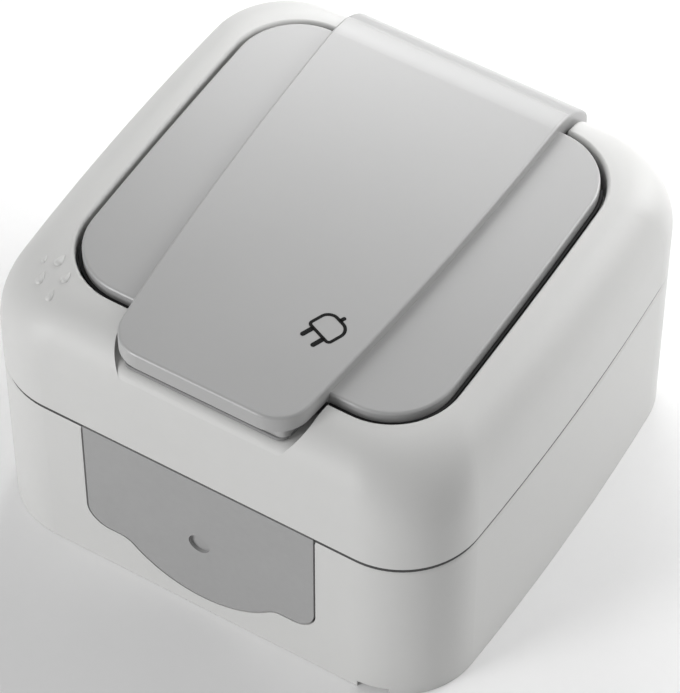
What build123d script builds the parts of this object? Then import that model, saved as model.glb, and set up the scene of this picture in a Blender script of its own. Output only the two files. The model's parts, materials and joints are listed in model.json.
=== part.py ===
"""Outdoor weatherproof mains socket for surface mounting, lying on its back.

Millimetres. The origin is the middle of the wall face, +Z points out of the wall,
+Y towards the hinge (up on the wall) and -Y towards the cable entry.
"""

import os
from math import atan2, cos, hypot, pi, radians, sin, sqrt

from build123d import *

# Outline of the box and the cover
body_width = 76.0
body_depth = 74.4
corner_radius = 12.3
side_bow = 1.6  # bulge of the left and right sides between their corners
wall = 2.4
floor = 2.6
base_height = 29.0  # seam between box and cover
seam_round = 1.0
seam_gap = 0.45  # shadow groove under the cover's edge
seam_depth = 1.2

# Rim of the cover: a pillow-shaped roll from the outer wall to the lid's recess
rim_start = 36.2
rim_top = 47.0
rim_fullness = 2.2  # exponent of the roll, 2 is an ellipse
rim_edge = 0.5
notch_edge = 0.4  # where the hinge notch cuts the roll
rim_side = 8.4  # width of the rim beside, before and behind the lid's recess
rim_front = 8.9
rim_back = 7.2
opening_radius = 10.5
opening_bow = 0.4
recess_wall = 2.0
ledge_top = 42.0
ledge_thickness = 2.2

# Seal between box and cover
gasket_inset = 1.6
gasket_width = 1.4
gasket_depth = 1.0
tongue_inset = 3.4
tongue_width = 1.2
tongue_height = 3.0
tongue_root = 4.5  # how far the tongue's foot reaches down inside the box
fit_gap = 0.2  # side play between moulded parts that slide into each other

# Lid
lid_gap = 0.95
wing_top = 47.75
wing_thickness = 2.0
wing_edge = 0.4
band_top = 49.4
band_half = 18.2  # half width of the band at the hinge, its widest place
band_bow = 610.0  # radius of the band's long sides
band_corner = 5.2
band_edge = 0.4
band_skin = 2.2
band_wall = 2.0
lid_setback = 0.85  # from the body's front to the band's front
lip_height = 2.8  # front of the band's top plate, which a fingertip lifts
skirt_drop = 1.75  # how far the skirt behind the lip hangs below the wings
skirt_inset = 1.55
skirt_wall = 1.4
skirt_corner = 1.2
skirt_clearance = 0.5
pocket_gap = 0.6
pocket_round = 2.5  # from the pocket's floor into the front of the roll

# Hinge
hinge_inset = 3.0  # from the body's back to the hinge axis
hinge_z = 42.5
knuckle_radius = 3.2
knuckle_gap = 0.4
strap_run = 6.7  # from the start of the strap's roll to the hinge axis
strap_gap = 0.5
crease_angle = 22.0  # place of the fine groove across the roll
crease_radius = 0.8
crease_depth = 0.06
back_notch_drop = 2.4  # back wall under the knuckle, measured down from the hinge axis
pin_radius = 1.1
pin_play = 0.05
pin_seat = 4.6  # length of the pin in each ear
ear_play = 0.02
ear_margin = 2.0
trough_wall = 2.0

# Torsion spring
spring_wire = 0.6
spring_radius = 1.7
spring_turns = 6
spring_room = 0.4
spring_leg = 4.4
spring_leg_play = 0.1

# Lid seal
seal_lip_radius = 23.9
seal_lip_width = 1.2
seal_lip_height = 1.2
seal_lap = 0.7  # how far the seal is wider than the lip on each side
seal_gap = 0.15
seal_rib = 0.8
seal_rib_drop = 1.3

# Socket well
well_radius = 19.6
well_depth = 17.5
well_wall = 2.3
well_floor = 3.7
well_mouth = 0.8
flange_reach = 4.4
flange_thickness = 2.0
guide_width = 4.8
guide_depth = 2.0
guide_drop = 1.5
bore_lead = 0.5
pin_spacing = 19.0
pin_bore_radius = 2.7
pin_length = 19.0
pin_tip_gap = 0.3

# Carrier of the live parts
carrier_width = 42.0
carrier_front = -20.0
carrier_back = 17.0
carrier_corner = 3.0
carrier_floor_gap = 1.4
lug_x = 27.0
lug_radius = 4.0
lug_seat = 10.0
lug_thickness = 3.5
pocket_play = 0.4
wire_slot = 4.0

# Brass and steel strips
strip = 0.8
strip_bend = 1.0
tab_z = 9.2  # underside of the terminal tabs
tab_width = 6.4
terminal_y = -13.4
terminal_reach = 3.4  # from a terminal screw's axis to its tab's end
contact_height = 8.6
contact_grip = 4.4  # rest gap of the contact's leaves at their throat
contact_mouth = 6.2
contact_reach = 3.4
clamp_size = 6.0
clamp_thickness = 1.2
earth_width = 9.0
earth_spring_width = 7.0
earth_spring_bulge = 1.6
earth_spring_root = 28.0
earth_spring_z = 33.0
earth_spring_top = 37.0
earth_leg_y = -7.5
earth_plate_back = 4.0
window_play = 0.5

# Screws
cover_screw_x = 23.6
cover_screw_y = 22.2
cover_screw_radius = 1.9
cover_screw_head = 3.5
cover_screw_head_height = 2.4
cover_screw_grip = 26.0
post_radius = 4.2
small_screw_radius = 1.5
small_screw_head = 2.8
small_screw_head_height = 1.8
insert_screw_grip = 8.0
lug_screw_grip = 9.0
terminal_screw_grip = 4.0
screw_play = 0.05
head_play = 0.4
screw_slot = 0.8
head_recess = 0.2

# Wall fixing
wall_slot_spacing = 48.0
wall_slot_length = 8.0
wall_slot_radius = 2.3
wall_slot_collar = 2.0
wall_slot_collar_height = 0.9

# Cable membrane
membrane_half = 18.5
membrane_shoulder = 8.1
membrane_belly_z = 18.7
membrane_belly_radius = 15.9
membrane_round = 3.4
membrane_gap = 0.3
membrane_flange = 1.8
membrane_flange_thickness = 1.6
membrane_skin = 1.4
membrane_eye_z = 15.0  # thin round field that the cable is pushed through
membrane_eye_radius = 10.0
dimple_radius = 1.7
dimple_depth = 0.6

# Drain notch in the box's lower edge
drain_x = 27.75
drain_width = 4.5
drain_height = 1.2

TOP = (Align.CENTER, Align.CENTER, Align.MAX)
BOTTOM = (Align.CENTER, Align.CENTER, Align.MIN)

front = -body_depth / 2
lid_front = front + lid_setback
hinge_y = body_depth / 2 - hinge_inset
strap_start = hinge_y - strap_run
strap_rise = band_top - hinge_z
strap_radius = (strap_run**2 + strap_rise**2 - knuckle_radius**2) / (
    2 * (strap_rise - knuckle_radius)
)
opening_width = body_width - 2 * rim_side
opening_depth = body_depth - rim_front - rim_back
opening_y = (rim_front - rim_back) / 2
wing_bottom = wing_top - wing_thickness
lip_bottom = band_top - lip_height
skirt_bottom = wing_bottom - skirt_drop
pocket_floor = skirt_bottom - skirt_clearance
ledge_bottom = ledge_top - ledge_thickness
opening_front = opening_y - opening_depth / 2
opening_back = opening_y + opening_depth / 2
wing_front = opening_front + lid_gap
well_bottom = ledge_top - well_depth
insert_bottom = well_bottom - well_floor
insert_radius = well_radius + well_wall
aperture_radius = insert_radius + fit_gap
carrier_top = insert_bottom
carrier_bottom = floor + carrier_floor_gap
pin_x = pin_spacing / 2
tab_inner = pin_x + contact_reach - strip / 2
terminal_x = tab_inner + tab_width / 2
terminal_end = terminal_y - terminal_reach
tab_top = tab_z + strip
cover_posts = [(-cover_screw_x, -cover_screw_y), (cover_screw_x, cover_screw_y)]
lugs = [(-lug_x, 0), (lug_x, 0)]
terminals = [(-terminal_x, terminal_y), (0, terminal_y), (terminal_x, terminal_y)]
spring_pitch = 2 * spring_wire
coil_half = spring_turns * spring_pitch / 2
spring_half = coil_half + spring_wire / 2 + spring_room
leg_y = hinge_y - spring_radius
leg_lean = spring_leg * spring_pitch / hypot(spring_pitch, 2 * pi * spring_radius)
leg_room = spring_wire + 2 * spring_leg_play
leg_slot = (leg_room + leg_lean, leg_room, spring_leg + spring_leg_play)
spring_pocket = spring_radius + spring_wire / 2 + spring_room


def outline(inset=0.0):
    """Outline of the box and the cover, moved in by `inset`, in the open sketch."""
    bowed_rectangle(
        body_width - 2 * inset, body_depth - 2 * inset, corner_radius - inset, side_bow, 0
    )


def opening_outline(grow=0.0):
    """Outline of the lid's recess in the cover, moved out by `grow`, in the open sketch."""
    bowed_rectangle(
        opening_width + 2 * grow,
        opening_depth + 2 * grow,
        opening_radius + grow,
        opening_bow,
        opening_y,
    )


def bowed_rectangle(width, depth, radius, bow, middle):
    """Rounded rectangle with bulging left and right sides, in the open sketch."""
    x = width / 2 - bow
    low, high = middle - depth / 2, middle + depth / 2
    with BuildLine() as sides:
        Line((-x, low), (x, low))
        ThreePointArc((x, low), (x + bow, middle), (x, high))
        Line((x, high), (-x, high))
        ThreePointArc((-x, high), (-x - bow, middle), (-x, low))
    make_face(sides.edges())
    fillet(vertices(), radius)


def slab(inset, bottom, top, mode=Mode.ADD):
    """Prism of the body's outline, moved in by `inset`, in the open part."""
    with BuildSketch(Plane.XY.offset(bottom)) as section:
        outline(inset)
    extrude(section.sketch, amount=top - bottom, mode=mode)


def rim_roll(inset, top):
    """Pillow-shaped top of the cover, from its outline to the recess, in the open part."""
    sections = []
    for angle in range(0, 91, 15):
        across = cos(radians(angle)) ** (2 / rim_fullness)
        up = sin(radians(angle)) ** (2 / rim_fullness)
        with BuildSketch(Plane.XY.offset(blend(rim_start, top, up))) as section:
            bowed_rectangle(
                blend(opening_width, body_width - 2 * inset, across),
                blend(opening_depth, body_depth - 2 * inset, across),
                blend(opening_radius, corner_radius - inset, across),
                blend(opening_bow, side_bow, across),
                blend(opening_y, 0, across),
            )
        sections.append(section.sketch.face())
    loft(sections)


def blend(start, end, share):
    return start + (end - start) * share


def band_plan(grow=0.0, back_end=hinge_y + knuckle_radius, corner=None):
    """Plan of the lid's band with bowed sides, moved out by `grow`, in the open sketch."""
    low, high = lid_front - grow, back_end + grow
    stations = (low, (low + high) / 2, high)
    right = [(band_half_at(y) + grow, y) for y in stations]
    left = [(-x, y) for x, y in right]
    with BuildLine() as sides:
        Line(left[0], right[0])
        ThreePointArc(*right)
        Line(right[-1], left[-1])
        ThreePointArc(*reversed(left))
    make_face(sides.edges())
    fillet(vertices().group_by(Axis.Y)[0], corner or band_corner + grow)


def band_half_at(y):
    return band_half - band_bow + sqrt(band_bow**2 - (y - hinge_y) ** 2)


def strap_end():
    """Point where the strap's roll runs into the knuckle."""
    slope = atan2(strap_radius - strap_rise, strap_run)
    return hinge_y + knuckle_radius * cos(slope), hinge_z + knuckle_radius * sin(slope)


def ring(inner, outer, bottom, top):
    """Flat ring around the well's axis, in the open part."""
    with BuildSketch(Plane.XY.offset(bottom)) as section:
        Circle(outer)
        Circle(inner, mode=Mode.SUBTRACT)
    extrude(section.sketch, amount=top - bottom)


def screws(points, head_top, head_radius, head_height, radius, grip):
    """Slotted screws with their heads' tops at one height, in the open part."""
    with Locations(*[(x, y, head_top) for x, y in points]):
        Cylinder(head_radius, head_height, align=TOP)
        Cylinder(radius, head_height + grip, align=TOP)
        Box(2 * head_radius, screw_slot, head_height / 2, align=TOP, mode=Mode.SUBTRACT)


def membrane_outline(grow=0.0):
    """Front view of the cable membrane: straight sides, shoulders and a round belly."""
    with Locations((0, (base_height + membrane_shoulder) / 2)):
        Rectangle(2 * membrane_half, base_height - membrane_shoulder)
    with Locations((0, membrane_belly_z)):
        Circle(membrane_belly_radius)
    with Locations((0, base_height / 2)):
        Rectangle(2 * membrane_half, base_height, mode=Mode.INTERSECT)
    fillet(vertices().group_by(Axis.Y)[0], membrane_round)
    if grow:
        offset(amount=grow)


# Gasket cord between box and cover, open where the membrane stands
membrane_slot = 2 * (membrane_half + membrane_flange + fit_gap)
membrane_back = front + wall + membrane_flange_thickness
with BuildPart() as box_gasket:
    slab(gasket_inset, base_height - gasket_depth, base_height)
    slab(gasket_inset + gasket_width, base_height - gasket_depth, base_height, Mode.SUBTRACT)
    with Locations((0, front, base_height)):
        Box(membrane_slot, body_depth / 2, 4 * gasket_depth, mode=Mode.SUBTRACT)

# Box that is screwed to the wall
with BuildPart() as base_box:
    slab(0, 0, base_height)
    fillet(edges().group_by(Axis.Z)[-1], seam_round)
    slab(tongue_inset, base_height - tongue_root, base_height + tongue_height)
    tongue_inner = tongue_inset + tongue_width
    slab(tongue_inner, floor, base_height + tongue_height, Mode.SUBTRACT)
    slab(wall, floor, base_height - tongue_root, Mode.SUBTRACT)
    add(box_gasket.part, mode=Mode.SUBTRACT)
    with Locations(*[(x, y, floor) for x, y in cover_posts]):
        Cylinder(post_radius, base_height - floor, align=BOTTOM)
    with Locations(*[(x, y, base_height) for x, y in cover_posts]):
        Cylinder(cover_screw_radius + screw_play, base_height - 2 * floor, align=TOP, mode=Mode.SUBTRACT)
    with Locations(*[(x, y, floor) for x, y in lugs]):
        Cylinder(lug_radius, lug_seat - floor, align=BOTTOM)
    with Locations(*[(x, y, lug_seat) for x, y in lugs]):
        Cylinder(small_screw_radius + screw_play, lug_seat - floor, align=TOP, mode=Mode.SUBTRACT)
    with BuildSketch(Plane.XY.offset(floor)):
        with GridLocations(0, wall_slot_spacing, 1, 2):
            SlotOverall(
                wall_slot_length + 2 * wall_slot_collar,
                2 * (wall_slot_radius + wall_slot_collar),
                rotation=90,
            )
    extrude(amount=wall_slot_collar_height)
    with BuildSketch():
        with GridLocations(0, wall_slot_spacing, 1, 2):
            SlotOverall(wall_slot_length, 2 * wall_slot_radius, rotation=90)
    extrude(amount=floor + wall_slot_collar_height, mode=Mode.SUBTRACT)
    with BuildSketch(Plane.XZ.offset(-front)):
        membrane_outline(membrane_gap)
    extrude(amount=-wall, mode=Mode.SUBTRACT)
    with Locations((0, front + wall, base_height + tongue_height)):
        Box(
            membrane_slot,
            tongue_inner,
            tongue_root + tongue_height,
            align=(Align.CENTER, Align.MIN, Align.MAX),
            mode=Mode.SUBTRACT,
        )
    with Locations((drain_x, front, 0)):
        Box(drain_width, 3 * wall, drain_height, align=BOTTOM, mode=Mode.SUBTRACT)

# Rubber cable membrane, held in the box's front wall by its inner flange
with BuildPart() as cable_membrane:
    with BuildSketch(Plane.XZ.offset(-front - wall)):
        membrane_outline(membrane_flange)
    extrude(amount=-membrane_flange_thickness)
    flange_low, flange_high = floor + fit_gap, base_height - fit_gap
    with Locations((0, front, flange_low)):
        Box(body_width, body_depth, flange_high - flange_low, align=BOTTOM, mode=Mode.INTERSECT)
    with BuildSketch(Plane.XZ.offset(-front)):
        membrane_outline()
    extrude(amount=-wall)
    with BuildSketch(Plane.XZ.offset(-membrane_back)):
        with Locations((0, membrane_eye_z)):
            Circle(membrane_eye_radius)
    extrude(amount=wall + membrane_flange_thickness - membrane_skin, mode=Mode.SUBTRACT)
    with BuildSketch(Plane.XZ.offset(-front)):
        with Locations((0, membrane_eye_z)):
            Circle(dimple_radius)
    extrude(amount=-dimple_depth, mode=Mode.SUBTRACT)

# Room inside the cover: all that is left between its skin, the recess and the hinge
hinge_block_half = band_half_at(hinge_y) + strap_gap + pin_seat + ear_margin
with BuildPart() as cover_room:
    slab(tongue_inset - fit_gap, base_height, base_height + tongue_height + fit_gap)
    slab(wall, base_height + tongue_height + fit_gap, rim_start)
    rim_roll(wall, rim_top - wall)
    with BuildSketch(Plane.XY.offset(ledge_bottom)):
        opening_outline(recess_wall)
    extrude(amount=rim_top - ledge_bottom, mode=Mode.SUBTRACT)
    with BuildSketch(Plane.XY.offset(pocket_floor - wall)):
        band_plan(pocket_gap + wall, back_end=opening_y)
    extrude(amount=rim_top - pocket_floor + wall, mode=Mode.SUBTRACT)
    trough_bottom = hinge_z - knuckle_radius - knuckle_gap - trough_wall
    with Locations((0, opening_back - trough_wall, trough_bottom)):
        Box(
            2 * hinge_block_half,
            body_depth,
            rim_top - trough_bottom,
            align=(Align.CENTER, Align.MIN, Align.MIN),
            mode=Mode.SUBTRACT,
        )
    with Locations(*[(x, y, base_height) for x, y in cover_posts]):
        Cylinder(post_radius, rim_top - base_height, align=BOTTOM, mode=Mode.SUBTRACT)

# Notch in the back rim that the strap and its knuckles turn in
with BuildPart() as hinge_notch:
    with BuildSketch(Plane.XY.offset(trough_bottom)):
        band_plan(strap_gap, back_end=body_depth)
    extrude(amount=rim_top)
    with BuildSketch(Plane.YZ):
        with Locations((hinge_y, hinge_z)):
            Circle(knuckle_radius + knuckle_gap)
        with Locations((opening_back - rim_edge, ledge_top)):
            Rectangle(body_depth, rim_top, align=(Align.MIN, Align.MIN))
        with Locations((hinge_y, hinge_z - back_notch_drop)):
            Rectangle(body_depth, rim_top, align=(Align.MIN, Align.MIN))
    extrude(amount=body_width, both=True, mode=Mode.INTERSECT)

# Cover with its pillow rim, the lid's recess, the sealing lip and the hinge ears
with BuildPart() as cover_frame:
    slab(seam_depth, base_height, rim_start)
    slab(0, base_height + seam_gap, rim_start)
    rim_roll(0, rim_top)
    add(cover_room.part, mode=Mode.SUBTRACT)
    with BuildSketch(Plane.XY.offset(ledge_top)):
        opening_outline()
    extrude(amount=rim_top, mode=Mode.SUBTRACT)
    fillet(edges().group_by(Axis.Z)[-1], rim_edge)
    with BuildSketch(Plane.XY.offset(pocket_floor)):
        band_plan(pocket_gap, back_end=opening_y)
    extrude(amount=rim_top, mode=Mode.SUBTRACT)
    pocket_edges = edges(Select.LAST).filter_by(GeomType.BSPLINE)
    fillet(pocket_edges.group_by(Axis.Z)[0], pocket_round)
    add(hinge_notch.part, mode=Mode.SUBTRACT)
    notch_edges = edges(Select.LAST).filter_by(GeomType.BSPLINE)
    fillet(notch_edges.filter_by_position(Axis.Z, hinge_z, wing_bottom), notch_edge)
    ring(seal_lip_radius, seal_lip_radius + seal_lip_width, ledge_bottom, ledge_top + seal_lip_height)
    with Locations((0, 0, ledge_bottom)):
        Cylinder(aperture_radius, rim_top, mode=Mode.SUBTRACT)
    with Locations(*[(x, y, base_height) for x, y in cover_posts]):
        Cylinder(cover_screw_radius + screw_play, rim_top - base_height, align=BOTTOM, mode=Mode.SUBTRACT)
    with Locations(*[(x, y, ledge_top) for x, y in cover_posts]):
        Cylinder(
            cover_screw_head + head_play,
            cover_screw_head_height + head_recess,
            align=TOP,
            mode=Mode.SUBTRACT,
        )
    pin_half = band_half_at(hinge_y) + strap_gap + pin_seat
    with Locations(Plane.YZ.offset(-pin_half) * Pos(hinge_y, hinge_z)):
        Cylinder(pin_radius + ear_play, 2 * pin_half, align=BOTTOM, mode=Mode.SUBTRACT)
    with Locations((-coil_half - leg_lean / 2, leg_y, hinge_z)):
        Box(*leg_slot, align=TOP, mode=Mode.SUBTRACT)

with BuildPart() as cover_screws:
    screws(
        cover_posts,
        ledge_top - head_recess,
        cover_screw_head,
        cover_screw_head_height,
        cover_screw_radius,
        cover_screw_grip,
    )

# Band of the lid with the strap over the back rim and the hinge knuckle
with BuildPart() as lid_band:
    with BuildSketch(Plane.XY.offset(trough_bottom)):
        band_plan()
    extrude(amount=band_top)
    with BuildSketch(Plane.YZ):
        with BuildLine():
            Polyline(
                (strap_start, band_top),
                (lid_front, band_top),
                (lid_front, lip_bottom),
                (wing_front, lip_bottom),
                (wing_front, wing_bottom),
                (hinge_y - knuckle_radius, wing_bottom),
                (hinge_y - knuckle_radius, hinge_z),
                (hinge_y, hinge_z),
                strap_end(),
            )
            TangentArc((strap_start, band_top), strap_end(), tangent=(1, 0))
        make_face()
        with Locations((hinge_y, hinge_z)):
            Circle(knuckle_radius)
    extrude(amount=body_width, both=True, mode=Mode.INTERSECT)
    fillet(edges().group_by(Axis.Z)[-1].sort_by(Axis.Y)[:-1], band_edge)
    roll_centre = Plane.YZ * Pos(strap_start, band_top - strap_radius)
    crease_lift = strap_radius + crease_radius - crease_depth
    with Locations(roll_centre * Rot(0, 0, -crease_angle) * Pos(0, crease_lift)):
        Cylinder(crease_radius, body_width, mode=Mode.SUBTRACT)

# Skirt behind the lip, which hangs into the cover's pocket
with BuildPart() as lid_skirt:
    skirt_height = band_top - band_skin - skirt_bottom
    with BuildSketch(Plane.XY.offset(skirt_bottom)):
        band_plan(-skirt_inset, wing_front + band_wall + skirt_inset, skirt_corner)
    extrude(amount=skirt_height)
    with BuildSketch(Plane.XY.offset(skirt_bottom)):
        band_plan(-skirt_inset - skirt_wall, corner=skirt_corner)
    extrude(amount=skirt_height, mode=Mode.SUBTRACT)

# Lid with its two wings, hollow band and seal seat
seal_inner = seal_lip_radius - seal_lap
seal_outer = seal_lip_radius + seal_lip_width + seal_lap
with BuildPart() as lid:
    with BuildSketch(Plane.XY.offset(wing_bottom)):
        opening_outline(-lid_gap)
    extrude(amount=wing_thickness)
    fillet(edges().group_by(Axis.Z)[-1], wing_edge)
    add(lid_band.part)
    with BuildSketch(Plane.XY.offset(wing_bottom)):
        band_plan(-band_wall, back_end=opening_back - lid_gap)
    extrude(amount=band_top - band_skin - wing_bottom, mode=Mode.SUBTRACT)
    add(lid_skirt.part)
    ring(seal_inner - seal_rib, seal_outer + seal_rib, wing_bottom, band_top - band_skin)
    ring(seal_inner - seal_rib, seal_inner, wing_bottom - seal_rib_drop, wing_bottom)
    ring(seal_outer, seal_outer + seal_rib, wing_bottom - seal_rib_drop, wing_bottom)
    with Locations(Plane.YZ.offset(-pin_half) * Pos(hinge_y, hinge_z)):
        Cylinder(pin_radius + pin_play, 2 * pin_half, align=BOTTOM, mode=Mode.SUBTRACT)
    with Locations(Plane.YZ.offset(-spring_half) * Pos(hinge_y, hinge_z)):
        Cylinder(spring_pocket, 2 * spring_half, align=BOTTOM, mode=Mode.SUBTRACT)
    with Locations((0, hinge_y, hinge_z - knuckle_radius)):
        Box(
            2 * spring_half,
            2 * knuckle_radius,
            knuckle_radius + spring_pocket,
            align=(Align.CENTER, Align.MAX, Align.MIN),
            mode=Mode.SUBTRACT,
        )
    with Locations((coil_half + leg_lean / 2, leg_y, hinge_z)):
        Box(*leg_slot, align=BOTTOM, mode=Mode.SUBTRACT)

with BuildPart() as lid_seal:
    ring(seal_inner, seal_outer, ledge_top + seal_lip_height + seal_gap, wing_bottom)

with BuildPart() as hinge_pin:
    with Locations(Plane.YZ.offset(-pin_half) * Pos(hinge_y, hinge_z)):
        Cylinder(pin_radius, 2 * pin_half, align=BOTTOM)

# Well that takes the plug
with BuildPart() as socket_insert:
    with BuildSketch(Plane.XZ):
        with BuildLine():
            Polyline(
                (0, insert_bottom),
                (insert_radius - strip_bend, insert_bottom),
                (insert_radius, insert_bottom + strip_bend),
                (insert_radius, ledge_bottom - flange_thickness),
                (insert_radius + flange_reach, ledge_bottom - flange_thickness),
                (insert_radius + flange_reach, ledge_bottom),
                (insert_radius, ledge_bottom),
                (insert_radius, ledge_top),
                (well_radius + well_mouth, ledge_top),
                (well_radius, ledge_top - well_mouth),
                (well_radius, well_bottom),
                (0, well_bottom),
                close=True,
            )
        make_face()
    revolve(axis=Axis.Z)

    with Locations((0, 0, well_bottom)):
        with PolarLocations(well_radius - guide_depth, 2):
            Box(
                guide_depth + well_wall / 2,
                guide_width,
                well_depth - guide_drop,
                align=(Align.MIN, Align.CENTER, Align.MIN),
            )
    with Locations((0, 0, earth_spring_root - window_play)):
        with PolarLocations(well_radius, 2, start_angle=90):
            Box(
                3 * well_wall,
                earth_spring_width + 2 * window_play,
                earth_spring_top - earth_spring_root + 2 * window_play,
                align=BOTTOM,
                mode=Mode.SUBTRACT,
            )
    with Locations((0, 0, well_bottom)):
        CounterBoreHole(
            small_screw_radius + screw_play,
            small_screw_head + head_play,
            small_screw_head_height + head_recess,
        )
        with GridLocations(pin_spacing, 0, 2, 1):
            Hole(pin_bore_radius)
    bores = edges().filter_by(GeomType.CIRCLE).filter_by(lambda edge: edge.radius == pin_bore_radius)
    chamfer(bores.group_by(Axis.Z)[-1], bore_lead)

with BuildPart() as insert_screw:
    screws(
        [(0, 0)],
        well_bottom - head_recess,
        small_screw_head,
        small_screw_head_height,
        small_screw_radius,
        well_floor - head_recess - small_screw_head_height + insert_screw_grip,
    )

# Brass contact for one pin: two sprung leaves, a web and a terminal tab
with BuildPart() as neutral_contact:
    mouth = (contact_mouth + strip) / 2
    throat = (contact_grip + strip) / 2
    with BuildSketch(Plane.XY.offset(tab_top)):
        with BuildLine() as leaves:
            FilletPolyline(
                (pin_x - contact_reach, mouth),
                (pin_x, throat),
                (pin_x + contact_reach, mouth),
                (pin_x + contact_reach, -mouth),
                (pin_x, -throat),
                (pin_x - contact_reach, -mouth),
                radius=strip_bend,
            )
        trace(leaves.edges(), strip)
    extrude(amount=contact_height)
    with Locations((tab_inner, terminal_end, tab_z)):
        Box(tab_width, mouth - terminal_end, strip, align=(Align.MIN, Align.MIN, Align.MIN))
    with Locations((terminal_x, terminal_y, tab_z)):
        Cylinder(small_screw_radius + screw_play, tab_top, mode=Mode.SUBTRACT)

with BuildPart() as line_contact:
    mirror(neutral_contact.part, about=Plane.YZ)

# Earth strip: under the well, up its sides and sprung into it through two windows
with BuildPart() as earth_bracket:
    arm_y = insert_radius + fit_gap + strip / 2
    tip_y = well_radius + strip / 2
    bulge_y = well_radius - earth_spring_bulge + strip / 2
    strip_z = carrier_top - strip / 2
    arm = [
        (arm_y, earth_spring_root),
        (bulge_y, earth_spring_z),
        (tip_y, earth_spring_top),
    ]
    with BuildSketch(Plane.YZ):
        with BuildLine() as path:
            FilletPolyline(
                *[(-y, z) for y, z in reversed(arm)],
                (-arm_y, strip_z),
                (arm_y, strip_z),
                *arm,
                radius=strip_bend,
            )
        trace(path.edges(), strip)
    extrude(amount=earth_width / 2, both=True)
    with GridLocations(earth_width + earth_spring_width, 0, 2, 1):
        with Locations((0, 0, carrier_top + strip)):
            Box(earth_width, body_depth, base_height, align=BOTTOM, mode=Mode.SUBTRACT)
    Cylinder(small_screw_radius + screw_play, 2 * base_height, mode=Mode.SUBTRACT)

# Earth terminal plate, clamped under the strip by the well's screw
with BuildPart() as earth_terminal:
    with BuildSketch(Plane.YZ):
        with BuildLine() as path:
            FilletPolyline(
                (earth_plate_back, strip_z - strip),
                (earth_leg_y, strip_z - strip),
                (earth_leg_y, tab_top - strip / 2),
                (terminal_end, tab_top - strip / 2),
                radius=strip_bend,
            )
        trace(path.edges(), strip)
    extrude(amount=tab_width / 2, both=True)
    with Locations((0, 0, 0), (0, terminal_y, 0)):
        Cylinder(small_screw_radius + screw_play, 2 * base_height, mode=Mode.SUBTRACT)

clamps = {}
for name, (x, y) in zip(("line_clamp", "earth_clamp", "neutral_clamp"), terminals):
    with BuildPart() as clamp:
        with Locations((x, y, tab_top)):
            Box(clamp_size, clamp_size, clamp_thickness, align=BOTTOM)
            Cylinder(small_screw_radius + screw_play, 3 * clamp_thickness, mode=Mode.SUBTRACT)
    clamps[name] = clamp

with BuildPart() as terminal_screws:
    screws(
        terminals,
        tab_top + clamp_thickness + small_screw_head_height,
        small_screw_head,
        small_screw_head_height,
        small_screw_radius,
        terminal_screw_grip,
    )

# Insulating carrier of the live parts, on two posts of the box
with BuildPart() as contact_carrier:
    with BuildSketch(Plane.XY.offset(carrier_bottom)):
        with Locations((0, (carrier_front + carrier_back) / 2)):
            RectangleRounded(carrier_width, carrier_back - carrier_front, carrier_corner)
    extrude(amount=carrier_top - carrier_bottom)
    with BuildSketch(Plane.XY.offset(lug_seat)):
        Rectangle(2 * lug_x, 2 * lug_radius)
        with Locations(*lugs):
            Circle(lug_radius)
    extrude(amount=lug_thickness)
    with Locations(*[(x, y, lug_seat) for x, y in lugs]):
        Cylinder(small_screw_radius + screw_play, lug_thickness, align=BOTTOM, mode=Mode.SUBTRACT)
    # Pockets of the contacts' leaves, deep enough for the plug's pins
    with BuildSketch(Plane.XY.offset(carrier_top)):
        with GridLocations(pin_spacing, 0, 2, 1):
            Rectangle(
                2 * contact_reach + strip + 2 * pocket_play, 2 * mouth + strip + 2 * pocket_play
            )
    pin_tip = well_bottom - pin_length - pin_tip_gap
    extrude(amount=pin_tip - carrier_top, mode=Mode.SUBTRACT)
    # Pockets of the terminals, open to the front for the wires
    with BuildSketch(Plane.XY.offset(tab_z)):
        pocket_back = mouth + strip / 2 + pocket_play
        pocket_front = terminal_end - pocket_play
        with GridLocations(2 * terminal_x, 0, 2, 1):
            with Locations((0, (pocket_back + pocket_front) / 2)):
                Rectangle(tab_width + 2 * pocket_play, pocket_back - pocket_front)
        earth_back = earth_leg_y + strip / 2 + strip_bend
        with Locations((0, (earth_back + pocket_front) / 2)):
            Rectangle(tab_width + 2 * pocket_play, earth_back - pocket_front)
        with Locations(*[(x, carrier_front) for x, y in terminals]):
            Rectangle(wire_slot, 2 * (pocket_front - carrier_front))
    extrude(amount=carrier_top - tab_z, mode=Mode.SUBTRACT)
    # Channels of the earth strip and of its terminal plate
    with Locations((0, 0, carrier_top)):
        Box(earth_width + 2 * pocket_play, body_depth, strip, align=TOP, mode=Mode.SUBTRACT)
    with Locations((0, earth_plate_back + pocket_play, carrier_top)):
        Box(
            tab_width + 2 * pocket_play,
            earth_plate_back - earth_leg_y,
            2 * strip,
            align=(Align.CENTER, Align.MAX, Align.MAX),
            mode=Mode.SUBTRACT,
        )
    with Locations((0, 0, carrier_top)):
        Cylinder(
            small_screw_radius + screw_play,
            insert_screw_grip + 2 * screw_play,
            align=TOP,
            mode=Mode.SUBTRACT,
        )
    with Locations(*[(x, y, tab_z) for x, y in terminals]):
        Cylinder(
            small_screw_radius + screw_play, terminal_screw_grip, align=TOP, mode=Mode.SUBTRACT
        )

with BuildPart() as carrier_screws:
    screws(
        lugs,
        lug_seat + lug_thickness + small_screw_head_height,
        small_screw_head,
        small_screw_head_height,
        small_screw_radius,
        lug_screw_grip,
    )

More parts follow.
